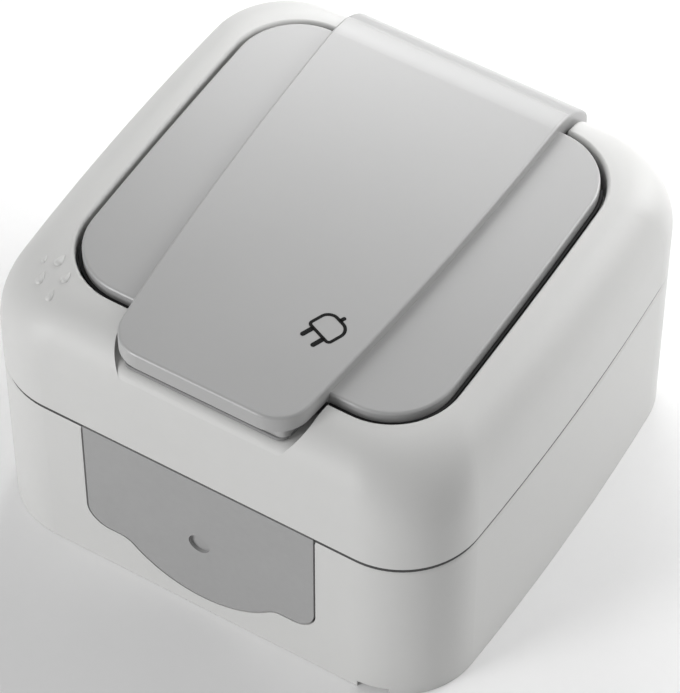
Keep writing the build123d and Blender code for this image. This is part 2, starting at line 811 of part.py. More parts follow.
# Torsion spring on the hinge pin, its legs in the lid and in the cover
coil_plane = Plane(origin=(-coil_half, hinge_y, hinge_z), x_dir=(0, -1, 0), z_dir=(1, 0, 0))
coil = coil_plane * Helix(spring_pitch, 2 * coil_half, spring_radius, lefthand=True)
with BuildPart() as lid_spring:
    with BuildLine() as wire:
        Line(coil @ 0 - (coil % 0) * spring_leg, coil @ 0)
        add(coil)
        Line(coil @ 1, coil @ 1 + (coil % 1) * spring_leg)
    with BuildSketch(Plane(origin=wire.line @ 0, z_dir=wire.line % 0)):
        Circle(spring_wire / 2)
    sweep()

pieces = {
    "base_box": base_box,
    "box_gasket": box_gasket,
    "cable_membrane": cable_membrane,
    "cover_frame": cover_frame,
    "cover_screws": cover_screws,
    "lid": lid,
    "lid_seal": lid_seal,
    "hinge_pin": hinge_pin,
    "lid_spring": lid_spring,
    "socket_insert": socket_insert,
    "insert_screw": insert_screw,
    "contact_carrier": contact_carrier,
    "carrier_screws": carrier_screws,
    "line_contact": line_contact,
    "neutral_contact": neutral_contact,
    "earth_bracket": earth_bracket,
    "earth_terminal": earth_terminal,
    "terminal_screws": terminal_screws,
    **clamps,
}
os.makedirs("parts", exist_ok=True)
for name, piece in pieces.items():
    piece.part.label = name
    export_step(piece.part, f"parts/{name}.step")
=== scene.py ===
"""Looks of the weatherproof wall socket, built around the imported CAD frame. Metres."""

import json
from math import atan2, cos, pi, radians, sin, sqrt

import bmesh
import bpy
from mathutils import Matrix, Vector


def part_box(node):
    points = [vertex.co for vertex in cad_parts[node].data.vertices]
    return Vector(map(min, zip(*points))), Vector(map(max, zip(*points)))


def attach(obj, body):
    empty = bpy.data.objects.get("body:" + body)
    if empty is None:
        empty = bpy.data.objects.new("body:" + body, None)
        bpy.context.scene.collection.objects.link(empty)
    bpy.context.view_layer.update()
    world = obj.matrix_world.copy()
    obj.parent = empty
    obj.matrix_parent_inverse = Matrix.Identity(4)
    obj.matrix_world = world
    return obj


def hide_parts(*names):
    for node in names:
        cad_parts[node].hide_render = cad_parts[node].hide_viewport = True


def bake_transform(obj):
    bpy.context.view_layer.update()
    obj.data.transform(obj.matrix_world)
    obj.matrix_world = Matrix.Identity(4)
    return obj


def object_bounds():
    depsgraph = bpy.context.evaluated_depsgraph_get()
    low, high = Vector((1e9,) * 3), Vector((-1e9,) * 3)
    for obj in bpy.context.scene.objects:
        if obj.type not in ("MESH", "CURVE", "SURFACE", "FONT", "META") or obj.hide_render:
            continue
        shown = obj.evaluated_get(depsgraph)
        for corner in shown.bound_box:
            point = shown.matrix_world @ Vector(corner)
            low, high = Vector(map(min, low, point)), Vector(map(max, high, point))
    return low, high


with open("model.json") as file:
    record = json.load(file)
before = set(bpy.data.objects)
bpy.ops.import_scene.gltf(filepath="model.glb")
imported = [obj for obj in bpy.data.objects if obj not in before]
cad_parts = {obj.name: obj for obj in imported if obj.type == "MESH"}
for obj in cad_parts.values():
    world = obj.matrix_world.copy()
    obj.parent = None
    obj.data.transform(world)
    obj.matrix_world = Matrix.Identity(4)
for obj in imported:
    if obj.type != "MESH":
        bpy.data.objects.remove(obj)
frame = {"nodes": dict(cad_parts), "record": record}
cad_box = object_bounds()
nodes = frame["nodes"]
scene = bpy.context.scene
MM = 0.001

# Camera, found by fitting the object's edges in the photograph
PHOTO_WIDTH = 680
PHOTO_HEIGHT = 693
CAMERA_FOCAL_PIXELS = 3914.1
CAMERA_EYE_MM = (182.72, -299.24, 450.69)
CAMERA_AZIMUTH = 31.404
CAMERA_ELEVATION = 50.908
SENSOR_MM = 36.0

# Plug symbol printed on the lid's band
SYMBOL_PLACE_MM = (9.24, -20.53)  # middle of the line that the two pins leave from
SYMBOL_TURN = -22.5
SYMBOL_WIDTH_MM = 4.3
SYMBOL_DEPTH_MM = 3.55
SYMBOL_FRONT_RADIUS_MM = 0.5
SYMBOL_BACK_RADIUS_MM = 1.5
SYMBOL_STROKE_MM = 0.48
SYMBOL_PIN_SPACING_MM = 2.33
SYMBOL_PIN_LENGTH_MM = 2.1
SYMBOL_PIN_WIDTH_MM = 0.74
SYMBOL_CORD_LENGTH_MM = 0.95
SYMBOL_CORD_WIDTH_MM = 0.64
INK_MM = 0.02

# Raised rain drops on the cover's rim: place on the rim and size of each
DROPS_MM = (
    (-30.55, -27.0, 0.62),
    (-28.40, -26.5, 1.0),
    (-29.30, -29.9, 1.0),
    (-26.00, -28.6, 0.9),
    (-26.50, -31.7, 0.9),
)
DROP_HALF_WIDTH_MM = 0.62
DROP_HEIGHT_MM = 0.34
DROP_TAIL = 2.3  # length of the tail in half widths
DROP_PINCH = 0.5  # how much narrower the tail's tip is
DROP_SEGMENTS = 32
DROP_RINGS = 20

# Dark strips standing in for the shade in the gaps, so that these show as dark lines (painted shade):
# under the cover's edge, along the lid's wings and on the skirt behind the lid's lip
BODY_MM = {"width": 76.0, "depth": 74.4, "radius": 12.3, "bow": 1.6, "middle": 0.0}
WINGS_MM = {"width": 57.3, "depth": 56.4, "radius": 9.55, "bow": 0.4, "middle": 0.85}
SEAM_SHADE_STRIP_MM = {"inset": 0.35, "height": 28.965, "section": (0.3, 0.93)}
WING_SHADE_STRIP_MM = {"inset": -0.25, "height": 45.6, "section": (0.5, 0.7)}
WING_SHADE_BACK_MM = 24.0  # the strips stop in the wings' back corners
WING_SHADE_FRONT_MM = 15.2  # and where the wings meet the band
LIP_SHADE_STRIP_MM = {"height": 44.1, "section": (0.3, 0.6)}
SKIRT_MM = {"half_width": 12.71, "front": -34.95, "radius": 1.35, "back": (13.4, -29.5)}
STRIP_ROUND = 0.25  # radius of a strip's edges as a share of its width
STRIP_ROUND_STEPS = 3

# Torsion spring on the hinge pin, from its leg in the cover to its leg in the lid
SPRING_AXIS_MM = (34.2, 42.5)
SPRING_TURNS = 6
SPRING_PITCH_MM = 1.2
SPRING_RADIUS_MM = 1.7
SPRING_WIRE_MM = 0.6
SPRING_LEG_MM = 4.4
SPRING_STEPS = 24  # points of one turn
SPRING_SIDES = 16  # points round the wire

# Screws that stand for the CAD ones: place of each axis and sizes in millimetres
SCREWS_MM = {
    "cover_screws": {"places": ((-23.6, -22.2), (23.6, 22.2)), "head": (3.5, 2.4), "shank": 1.9},
    "insert_screw": {"places": ((0, 0),), "head": (2.8, 1.8), "shank": 1.5},
    "carrier_screws": {"places": ((-27, 0), (27, 0)), "head": (2.8, 1.8), "shank": 1.5},
    "terminal_screws": {
        "places": ((-15.7, -13.4), (0, -13.4), (15.7, -13.4)),
        "head": (2.8, 1.8),
        "shank": 1.5,
    },
}
SCREW_SLOT_MM = 0.8
SCREW_SLOT_LENGTH = 2.2  # in radii of the head, so that it cuts right through
SCREW_SLOT_SEED = 4  # draws the angle that each screw stopped at
THREAD_PITCH_MM = 0.9
THREAD_DEPTH = 0.16  # share of the shank's radius
HEAD_ROUND = 0.22  # share of the head's radius
SHANK_MESH = {"Vertices": 24, "Side Segments": 120}
HEAD_MESH = {"Vertices": 48, "Side Segments": 10}

# Stage: a floor just under the box, an even sky and square lamps
FLOOR_SIZE = 6.0
FLOOR_DROP_MM = 0.05
FLOOR_COLOUR = (0.92, 0.92, 0.92)
FLOOR_ROUGHNESS = 0.8
SKY_STRENGTH = 0.315
BOX_MIDDLE_MM = (0, 0, 30)
SOFTBOXES = (  # name, place and target in millimetres, size in millimetres, power in watts
    ("front_left_softbox", (-485, -840, 272), BOX_MIDDLE_MM, 350, 4.34),
    ("front_left_high_softbox", (-439, -628, 673), BOX_MIDDLE_MM, 350, 1.47),
    ("back_right_softbox", (485, 840, 272), BOX_MIDDLE_MM, 600, 2.77),
    ("back_right_high_softbox", (354, 612, 737), BOX_MIDDLE_MM, 600, 1.52),
    ("back_left_lamp", (-60, 160, 110), (-10, 30, 45), 100, 0.0828),
    ("back_right_lamp", (100, 140, 120), (10, 30, 45), 120, 0.136),
    ("strap_lamp", (0, 200, 70), (0, 30, 45), 160, 0.0153),
    ("wing_lamp", (-70, 90, 110), (-15, 25, 46), 60, 0.0184),
    ("band_left_lamp", (-64, 118, 141), (-18, 40, 48), 70, 0.0284),
    ("band_right_lamp", (-6, 118, 144), (30, 38, 48), 70, 0.0217),
)


class Wire:
    """A socket of a node tree. Arithmetic on it adds Math nodes."""

    def __init__(self, tree, socket=None):
        self.tree = tree
        self.socket = socket

    def node(self, kind, settings=None, sockets=None, output=0):
        """Adds a node of this type, sets its settings, then its sockets, and gives one output."""
        made = self.tree.nodes.new(kind)
        for name, value in (settings or {}).items():
            if name == "stops":
                ramp = made.color_ramp.elements
                while len(ramp) < len(value):
                    ramp.new(0.5)
                for stop, (position, colour) in zip(ramp, value):
                    stop.position = position
                    stop.color = colour
            else:
                setattr(made, name, value)
        for name, value in (sockets or {}).items():
            for part in value if isinstance(value, list) else [value]:
                if isinstance(part, Wire):
                    self.tree.links.new(part.socket, made.inputs[name])
                else:
                    made.inputs[name].default_value = part
        return Wire(self.tree, made.outputs[output] if made.outputs else None)

    def at(self, output):
        """Another output of the same node."""
        return Wire(self.tree, self.socket.node.outputs[output])

    def math(self, operation, first, second=0.0):
        return self.node("ShaderNodeMath", {"operation": operation}, {0: first, 1: second})

    def __add__(self, other):
        return self.math("ADD", self, other)

    def __mul__(self, other):
        return self.math("MULTIPLY", self, other)

    def __sub__(self, other):
        return self.math("SUBTRACT", self, other)

    def __rsub__(self, other):
        return self.math("SUBTRACT", other, self)

    def __truediv__(self, other):
        return self.math("DIVIDE", self, other)


# Finishes: sizes of their clouds, mottle and lines, and how far these move the tone
PLASTIC_CLOUD_MM = 16.0
PLASTIC_MOTTLE_MM = 1.6
PLASTIC_SPREAD = 0.035
RUBBER_CLOUD_MM = 9.0
RUBBER_SKIN_MM = 0.16
RUBBER_SKIN_HEIGHT_MM = 0.007
RUBBER_SPREAD = 0.07
RUBBER_GLOSS = 0.35
METAL_LINE_MM = 0.12
METAL_LINE_HEIGHT_MM = 0.003
METAL_LINE_STRETCH = 0.06
METAL_TINTS = (0.92, 1.06)
METAL_TARNISH_MM = 5.0
METAL_TARNISH_STOPS = ((0.42, (0, 0, 0, 1)), (0.72, (1, 1, 1, 1)))
INK_COVER_MM = 0.35
INK_GRAIN_MM = 0.12
INK_GRAIN_HEIGHT_MM = 0.003
INK_COLOURS = ((0.004, 0.004, 0.004), (0.013, 0.013, 0.013))
INK_ROUGHNESS = 0.575
INK_GLOSS = 0.1


def new_material(name):
    """A material with a Principled shader; gives the material, its tree's wire and the shader."""
    material = bpy.data.materials.new(name)
    material.use_nodes = True
    tree = material.node_tree
    shader = next(n for n in tree.nodes if n.type == "BSDF_PRINCIPLED")
    return material, Wire(tree), shader


def plug_in(shader, **wires):
    """Links wires to the shader's sockets, named with _ for a space."""
    for name, wire in wires.items():
        wire.tree.links.new(wire.socket, shader.inputs[name.replace("_", " ")])


def noise(wire, place, size_mm, detail=2.0):
    """Soft noise with features of about this size, from 0 to 1."""
    return wire.node(
        "ShaderNodeTexNoise", {}, {"Vector": place, "Scale": 1 / (size_mm * MM), "Detail": detail}, "Fac"
    )


def mix(wire, share, first, second):
    """Colour between two colours."""
    return wire.node(
        "ShaderNodeMix",
        {"data_type": "RGBA"},
        {
            "Factor": share,
            "A": first if isinstance(first, Wire) else (*first, 1.0),
            "B": second if isinstance(second, Wire) else (*second, 1.0),
        },
        "Result",
    )


def bump(wire, height, height_mm):
    return wire.node("ShaderNodeBump", {}, {"Strength": 1.0, "Distance": height_mm * MM, "Height": height})


def tint(colour, factor):
    return tuple(min(1.0, channel * factor) for channel in colour)


def uneven(middle, *parts):
    """Value that noises move about its middle; each part is a noise and its share."""
    value = middle - sum(share for _, share in parts) / 2
    for wire, share in parts:
        value = wire * share + value
    return value


def moulded_plastic(name, colour, roughness, grain_mm=0.3, grain_height_mm=0.004, gloss=0.5):
    """Satin moulded plastic: eroded grain, faint flow clouds and uneven gloss."""
    material, wire, shader = new_material(name)
    place = wire.node("ShaderNodeTexCoord", output="Object")
    cloud = noise(wire, place, PLASTIC_CLOUD_MM, 3.0)
    mottle = noise(wire, place, PLASTIC_MOTTLE_MM)
    grain = noise(wire, place, grain_mm)
    tone = cloud * 0.6 + mottle * 0.2 + grain * 0.2
    plug_in(
        shader,
        Base_Color=mix(wire, tone, tint(colour, 1 - PLASTIC_SPREAD), tint(colour, 1 + PLASTIC_SPREAD)),
        Roughness=uneven(roughness, (cloud, 0.08), (grain, 0.06)),
        Normal=bump(wire, grain + mottle * 0.3, grain_height_mm),
    )
    shader.inputs["Specular IOR Level"].default_value = gloss
    return material


def rubber(name, colour, roughness, mottle_mm):
    """Soft rubber: cloudy skin with a fine matt texture and a little bloom."""
    material, wire, shader = new_material(name)
    place = wire.node("ShaderNodeTexCoord", output="Object")
    cloud = noise(wire, place, RUBBER_CLOUD_MM, 3.0)
    mottle = noise(wire, place, mottle_mm, 3.0)
    skin = noise(wire, place, RUBBER_SKIN_MM)
    tone = cloud * 0.4 + mottle * 0.6
    plug_in(
        shader,
        Base_Color=mix(wire, tone, tint(colour, 1 - RUBBER_SPREAD), tint(colour, 1 + RUBBER_SPREAD)),
        Roughness=uneven(roughness, (mottle, 0.1), (skin, 0.08)),
        Normal=bump(wire, skin + mottle * 0.8, RUBBER_SKIN_HEIGHT_MM),
    )
    shader.inputs["Specular IOR Level"].default_value = RUBBER_GLOSS
    return material


def rolled_metal(name, colour, tarnish, roughness, along):
    """Sheet metal with rolling lines on one axis and patches of tarnish."""
    material, wire, shader = new_material(name)
    place = wire.node("ShaderNodeTexCoord", output="Object")
    across = tuple(METAL_LINE_STRETCH if axis == along else 1.0 for axis in "xyz")
    drawn = wire.node("ShaderNodeMapping", {}, {"Vector": place, "Scale": across})
    lines = noise(wire, drawn, METAL_LINE_MM)
    patch = wire.node(
        "ShaderNodeValToRGB",
        {"stops": METAL_TARNISH_STOPS},
        {"Fac": noise(wire, place, METAL_TARNISH_MM, 4.0)},
    )
    spot = wire.node("ShaderNodeRGBToBW", {}, {"Color": patch})
    bright = mix(wire, lines, *(tint(colour, factor) for factor in METAL_TINTS))
    plug_in(
        shader,
        Base_Color=mix(wire, spot * 0.6, bright, tarnish),
        Roughness=uneven(roughness, (lines, 0.14), (spot, 0.16)),
        Normal=bump(wire, lines, METAL_LINE_HEIGHT_MM),
    )
    shader.inputs["Metallic"].default_value = 1.0
    return material


def printing_ink(name):
    """Matt black pad print, a little uneven in its cover."""
    material, wire, shader = new_material(name)
    place = wire.node("ShaderNodeTexCoord", output="Object")
    cover = noise(wire, place, INK_COVER_MM, 3.0)
    grain = noise(wire, place, INK_GRAIN_MM)
    plug_in(
        shader,
        Base_Color=mix(wire, cover, *INK_COLOURS),
        Roughness=uneven(INK_ROUGHNESS, (grain, 0.15)),
        Normal=bump(wire, grain, INK_GRAIN_HEIGHT_MM),
    )
    shader.inputs["Specular IOR Level"].default_value = INK_GLOSS
    return material


materials = {
    "shell": moulded_plastic("light_grey_plastic", (0.600, 0.600, 0.591), 0.45),
    "lid": moulded_plastic("mid_grey_plastic", (0.389, 0.389, 0.388), 0.33, gloss=0.9),
    "membrane": rubber("grey_soft_rubber", (0.344, 0.344, 0.344), 0.62, 0.9),
    "seal": rubber("black_seal_rubber", (0.018, 0.018, 0.019), 0.58, 0.6),
    "well": moulded_plastic("well_grey_plastic", (0.58, 0.58, 0.57), 0.4),
    "insulator": moulded_plastic("cream_insulating_plastic", (0.74, 0.72, 0.66), 0.5, 0.4, 0.006),
    "brass": rolled_metal("rolled_brass", (0.83, 0.62, 0.30), (0.47, 0.30, 0.13), 0.37, "y"),
    "steel": rolled_metal("zinc_plated_steel", (0.74, 0.75, 0.77), (0.55, 0.56, 0.60), 0.39, "x"),
}
ink = printing_ink("black_printing_ink")
# Dark grey colour of the strip of painted shade in the seam under the cover's edge
seam_painted_shade = rubber("dark_grey_seam_painted_shade", (0.06, 0.06, 0.06), 0.66, 0.6)
# Mid grey colour of the strip of painted shade under the lid's lip
lip_painted_shade = rubber("grey_lip_painted_shade", (0.24, 0.24, 0.24), 0.64, 0.6)

for part in frame["record"]["subparts"]:
    slots = nodes[part["node"]].data.materials
    slots.clear()
    slots.append(materials[part["material_slot"]])


# Pieces


def mesh_piece(name, mesh, body, smooth_angle=35.0):
    """Finished piece at the origin that rides on a body, or on none yet."""
    piece = bpy.data.objects.new(name, mesh)
    scene.collection.objects.link(piece)
    for face in mesh.polygons:
        face.use_smooth = True
    mesh.set_sharp_from_angle(angle=radians(smooth_angle))
    if body:
        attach(piece, body)
    return piece


def node_tree(name, sizes):
    """Empty geometry node tree with a mesh of places, these sizes as inputs and one output."""
    tree = bpy.data.node_groups.new(name, "GeometryNodeTree")
    tree.interface.new_socket("Places", in_out="INPUT", socket_type="NodeSocketGeometry")
    for size in sizes:
        tree.interface.new_socket(size, in_out="INPUT", socket_type="NodeSocketFloat")
    tree.interface.new_socket("Made", in_out="OUTPUT", socket_type="NodeSocketGeometry")
    return tree


def end_tree(wire, instances, material):
    """Realizes the instances, gives them their material and ends the tree."""
    real = wire.node("GeometryNodeRealizeInstances", {}, {"Geometry": instances})
    painted = wire.node("GeometryNodeSetMaterial", {}, {"Geometry": real, "Material": material})
    wire.node("NodeGroupOutput", {}, {"Made": painted})


def grown_mesh(name, tree, places, sizes, attributes=None, edges=()):
    """Plain mesh that the tree makes on these places."""
    seeds = bpy.data.meshes.new(name)
    seeds.from_pydata(places, edges, [])
    for attribute, (kind, values) in (attributes or {}).items():
        data = seeds.attributes.new(attribute, kind, "POINT").data
        for item, value in zip(data, values):
            setattr(item, "vector" if kind == "FLOAT_VECTOR" else "value", value)
    carrier = bpy.data.objects.new(name, seeds)
    scene.collection.objects.link(carrier)
    maker = carrier.modifiers.new("maker", "NODES")
    maker.node_group = tree
    for item in tree.interface.items_tree:
        if item.in_out == "INPUT" and item.name in sizes:
            maker[item.identifier] = sizes[item.name]
    graph = bpy.context.evaluated_depsgraph_get()
    mesh = bpy.data.meshes.new_from_object(carrier.evaluated_get(graph))
    bpy.data.objects.remove(carrier)
    mesh.name = name
    return mesh


def screw_tree(material):
    """Slotted screws with a rounded head and a helical thread, head up on each place."""
    tree = node_tree("slotted_screws", ("Head Radius", "Head Height", "Shank", "Length", "Pitch", "Slot"))
    wire = Wire(tree)
    size = wire.node("NodeGroupInput").at

    spot = wire.node("ShaderNodeSeparateXYZ", {}, {0: wire.node("GeometryNodeInputPosition")}, "X")
    x, y, z = spot, spot.at("Y"), spot.at("Z")

    def reshaped(mesh, factor, top):
        """Scales a mesh about its axis by a factor, and puts its middle at the height."""
        place = wire.node("ShaderNodeCombineXYZ", {}, {"X": x * factor, "Y": y * factor, "Z": z + top})
        return wire.node("GeometryNodeSetPosition", {}, {"Geometry": mesh, "Position": place})

    shank = wire.node(
        "GeometryNodeMeshCylinder",
        {},
        {**SHANK_MESH, "Radius": size("Shank"), "Depth": size("Length")},
        "Mesh",
    )
    turn = wire.math("ARCTAN2", y, x) * (0.5 / pi)
    phase = wire.math("FRACT", z / size("Pitch") + turn)
    groove = wire.math("ABSOLUTE", phase * 2 - 1)
    shank = reshaped(shank, 1 - groove * THREAD_DEPTH, size("Length") * -0.5)

    head = wire.node(
        "GeometryNodeMeshCylinder",
        {},
        {**HEAD_MESH, "Radius": size("Head Radius"), "Depth": size("Head Height")},
        "Mesh",
    )
    rise = wire.math("MAXIMUM", z / size("Head Height") * 2, 0.0)
    shoulder = 1 - wire.math("SQRT", wire.math("MAXIMUM", 1 - rise * rise, 0.0))
    head = reshaped(head, 1 - shoulder * HEAD_ROUND, size("Head Height") * -0.5)

    whole = wire.node("GeometryNodeMeshBoolean", {"operation": "UNION"}, {"Mesh 2": [head, shank]})
    slot_size = wire.node(
        "ShaderNodeCombineXYZ",
        {},
        {"X": size("Head Radius") * SCREW_SLOT_LENGTH, "Y": size("Slot"), "Z": size("Head Height")},
    )
    slot = wire.node("GeometryNodeMeshCube", {}, {"Size": slot_size}, "Mesh")
    screw = wire.node(
        "GeometryNodeMeshBoolean", {"operation": "DIFFERENCE"}, {"Mesh 1": whole, "Mesh 2": slot}
    )
    angle = wire.node(
        "FunctionNodeRandomValue",
        {"data_type": "FLOAT"},
        {"Min": 0.0, "Max": pi, "Seed": SCREW_SLOT_SEED},
        1,
    )
    euler = wire.node("ShaderNodeCombineXYZ", {}, {"Z": angle})
    facing = wire.node("FunctionNodeEulerToRotation", {}, {"Euler": euler})
    screws = wire.node(
        "GeometryNodeInstanceOnPoints",
        {},
        {"Points": size("Places"), "Instance": screw, "Rotation": facing},
    )
    end_tree(wire, screws, material)
    return tree


def add_screws():
    tree = screw_tree(materials["steel"])
    for node, screw in SCREWS_MM.items():
        low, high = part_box(node)
        places = [(px * MM, py * MM, high[2]) for px, py in screw["places"]]
        head_radius, head_height = screw["head"]
        sizes = {
            "Head Radius": head_radius * MM,
            "Head Height": head_height * MM,
            "Shank": screw["shank"] * MM,
            "Length": high[2] - low[2],
            "Pitch": THREAD_PITCH_MM * MM,
            "Slot": SCREW_SLOT_MM * MM,
        }
        mesh = grown_mesh(f"threaded_{node}", tree, places, sizes)
        piece = mesh_piece(f"threaded_{node}", mesh, "housing")
        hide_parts(node)


def drop_tree(material):
    """Drops with a round belly and a tail, laid on each place against its surface."""
    tree = node_tree("raised_drops", ("Half Width", "Height", "Tail"))
    wire = Wire(tree)
    size = wire.node("NodeGroupInput").at
    ball = wire.node(
        "GeometryNodeMeshUVSphere",
        {},
        {"Segments": DROP_SEGMENTS, "Rings": DROP_RINGS, "Radius": 1.0},
        "Mesh",
    )
    spot = wire.node("ShaderNodeSeparateXYZ", {}, {0: wire.node("GeometryNodeInputPosition")}, "X")
    x, y, z = spot, spot.at("Y"), spot.at("Z")
    tail = wire.math("MAXIMUM", y, 0.0)
    pinch = 1 - tail * DROP_PINCH
    drop_place = wire.node(
        "ShaderNodeCombineXYZ",
        {},
        {
            "X": x * pinch * size("Half Width"),
            "Y": (y + tail * (size("Tail") - 1)) * size("Half Width"),
            "Z": z * pinch * size("Height"),
        },
    )
    drop = wire.node("GeometryNodeSetPosition", {}, {"Geometry": ball, "Position": drop_place})
    slope = wire.node(
        "GeometryNodeInputNamedAttribute", {"data_type": "FLOAT_VECTOR"}, {"Name": "surface_normal"}
    )
    facing = wire.node("FunctionNodeAlignRotationToVector", {"axis": "Z"}, {"Vector": slope})
    share = wire.node("GeometryNodeInputNamedAttribute", {"data_type": "FLOAT"}, {"Name": "drop_size"})
    drops = wire.node(
        "GeometryNodeInstanceOnPoints",
        {},
        {"Points": size("Places"), "Instance": drop, "Rotation": facing, "Scale": share},
    )
    end_tree(wire, drops, material)
    return tree


def add_drops():
    cover = nodes["cover_frame"]
    top = cad_box[1][2]
    places, normals = [], []
    for px, py, _ in DROPS_MM:
        found, place, normal, _ = cover.ray_cast((px * MM, py * MM, top), (0, 0, -1))
        if not found:
            raise RuntimeError("a drop has no rim under it")
        places.append(place)
        normals.append(normal)
    mesh = grown_mesh(
        "raised_drops",
        drop_tree(materials["shell"]),
        places,
        {"Half Width": DROP_HALF_WIDTH_MM * MM, "Height": DROP_HEIGHT_MM * MM, "Tail": DROP_TAIL},
        {
            "surface_normal": ("FLOAT_VECTOR", normals),
            "drop_size": ("FLOAT", [drop[2] for drop in DROPS_MM]),
        },
    )
    mesh_piece("raised_drops", mesh, "housing", smooth_angle=180.0)


def strip_tree(material):
    """Dark strip of one section that follows a level path, painted shade laid in a gap."""
    tree = node_tree("shade_strip", ("Width", "Height"))
    wire = Wire(tree)
    size = wire.node("NodeGroupInput").at
    path = wire.node("GeometryNodeMeshToCurve", {}, {"Mesh": size("Places")})
    level = wire.node("GeometryNodeSetCurveNormal", {"mode": "Z_UP"}, {"Curve": path})
    section = wire.node(
        "GeometryNodeCurvePrimitiveQuadrilateral", {}, {"Width": size("Width"), "Height": size("Height")}
    )
    soft = wire.node(
        "GeometryNodeFilletCurve",
        {"mode": "POLY"},
        {"Curve": section, "Radius": size("Width") * STRIP_ROUND, "Count": STRIP_ROUND_STEPS},
    )
    strip = wire.node(
        "GeometryNodeCurveToMesh", {}, {"Curve": level, "Profile Curve": soft, "Fill Caps": True}
    )
    end_tree(wire, strip, material)
    return tree


def bowed_side(size, inset, steps=24):
    """Right half of a rounded outline with bulging sides, moved in, from front to back."""
    half_depth = size["depth"] / 2 - inset
    radius = size["radius"] - inset
    bow_radius = (half_depth**2 + size["bow"] ** 2) / (2 * size["bow"])
    bow_x = size["width"] / 2 - inset - bow_radius
    corner_y = half_depth - radius
    corner_x = bow_x + sqrt((bow_radius - radius) ** 2 - corner_y**2)
    meet = atan2(corner_y, corner_x - bow_x)
    side = []
    for step in range(steps + 1):
        angle = step / steps * meet
        side.append((bow_x + bow_radius * cos(angle), bow_radius * sin(angle)))
    for step in range(1, steps + 1):
        angle = meet + step / steps * (pi / 2 - meet)
        side.append((corner_x + radius * cos(angle), corner_y + radius * sin(angle)))
    front = [(x, -y) for x, y in reversed(side)]
    return [(x, y + size["middle"]) for x, y in front[:-1] + side]


def add_strip(name, paths, closed, seal, material, body):
    """Dark strip of painted shade along level paths of (x, y) in millimetres."""
    places, edges = [], []
    for path in paths:
        first = len(places)
        places += [(x * MM, y * MM, seal["height"] * MM) for x, y in path]
        last = len(places) - 1
        edges += [(index, index + 1) for index in range(first, last)]
        if closed:
            edges.append((last, first))
    width, height = seal["section"]
    tree = strip_tree(material)
    mesh = grown_mesh(name, tree, places, {"Width": width * MM, "Height": height * MM}, edges=edges)
    mesh_piece(name, mesh, body)


def skirt_side(size, steps=8):
    """Right half of the skirt behind the lip, from its front to its side."""
    radius = size["radius"]
    corner_x = size["half_width"] - radius
    corner_y = size["front"] + radius
    angles = [step / steps * pi / 2 for step in range(steps + 1)]
    corner = [(corner_x + radius * sin(angle), corner_y - radius * cos(angle)) for angle in angles]
    return corner + [size["back"]]


def mirrored(path):
    """The path on the other side of the middle, run the other way."""
    return [(-x, y) for x, y in reversed(path)]


# Strips of painted shade: dark strips laid in the gaps where shade falls
def add_shade_strips():
    # dark strip in the seam under the cover's edge: painted shade
    right = bowed_side(BODY_MM, SEAM_SHADE_STRIP_MM["inset"])
    add_strip("seam_shade_strip", [right + mirrored(right)], True, SEAM_SHADE_STRIP_MM, seam_painted_shade, "housing")
    # black strips in the gap round the lid's wings: painted shade
    wing = [spot for spot in bowed_side(WINGS_MM, WING_SHADE_STRIP_MM["inset"]) if spot[1] < WING_SHADE_BACK_MM]
    wing = [(WING_SHADE_FRONT_MM, wing[0][1])] + wing
    other = [(-x, y) for x, y in wing]
    add_strip("wing_gap_shade_strips", [wing, other], False, WING_SHADE_STRIP_MM, materials["seal"], "lid")
    # grey strip on the skirt under the lid's lip: painted shade
    skirt = skirt_side(SKIRT_MM)
    add_strip("lip_shade_strip", [mirrored(skirt) + skirt], False, LIP_SHADE_STRIP_MM, lip_painted_shade, "lid")


def wire_tree(material):
    """Round wire that follows a path."""
    tree = node_tree("spring_wire", ("Radius",))
    wire = Wire(tree)
    size = wire.node("NodeGroupInput").at
    path = wire.node("GeometryNodeMeshToCurve", {}, {"Mesh": size("Places")})
    section = wire.node(
        "GeometryNodeCurvePrimitiveCircle",
        {},
        {"Resolution": SPRING_SIDES, "Radius": size("Radius")},
        "Curve",
    )
    made = wire.node(
        "GeometryNodeCurveToMesh", {}, {"Curve": path, "Profile Curve": section, "Fill Caps": True}
    )
    end_tree(wire, made, material)
    return tree


def add_spring():
    """Torsion spring whose coils wind up between the cover and the lid."""
    axis_y, axis_z = SPRING_AXIS_MM
    half = SPRING_TURNS * SPRING_PITCH_MM / 2
    rise = Vector((SPRING_PITCH_MM, 0, 2 * pi * SPRING_RADIUS_MM)).normalized()
    coil = []
    for step in range(SPRING_TURNS * SPRING_STEPS + 1):
        turns = step / SPRING_STEPS
        angle = turns * 2 * pi
        across = -half + turns * SPRING_PITCH_MM
        y = axis_y - SPRING_RADIUS_MM * cos(angle)
        coil.append(Vector((across, y, axis_z + SPRING_RADIUS_MM * sin(angle))))
    path = [coil[0] - rise * SPRING_LEG_MM] + coil + [coil[-1] + rise * SPRING_LEG_MM]
    places = [spot * MM for spot in path]
    edges = [(index, index + 1) for index in range(len(places) - 1)]
    sizes = {"Radius": SPRING_WIRE_MM / 2 * MM}
    mesh = grown_mesh("wound_spring", wire_tree(materials["steel"]), places, sizes, edges=edges)
    piece = mesh_piece("wound_spring", mesh, None, smooth_angle=60.0)
    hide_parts("lid_spring")
    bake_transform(piece)


def rounded_outline(corners, grow, steps=12):
    """Outline through corners of (x, y, radius), against the clock, moved out by `grow`."""
    points = []
    for index, (cx, cy, radius) in enumerate(corners):
        corner = Vector((cx, cy))
        before = (Vector(corners[index - 1][:2]) - corner).normalized()
        after = (Vector(corners[(index + 1) % len(corners)][:2]) - corner).normalized()
        middle = corner + (before + after) * radius
        start = -after * (radius + grow)
        for step in range(steps + 1):
            points.append(middle + Matrix.Rotation(step / steps * pi / 2, 2) @ start)
    return points


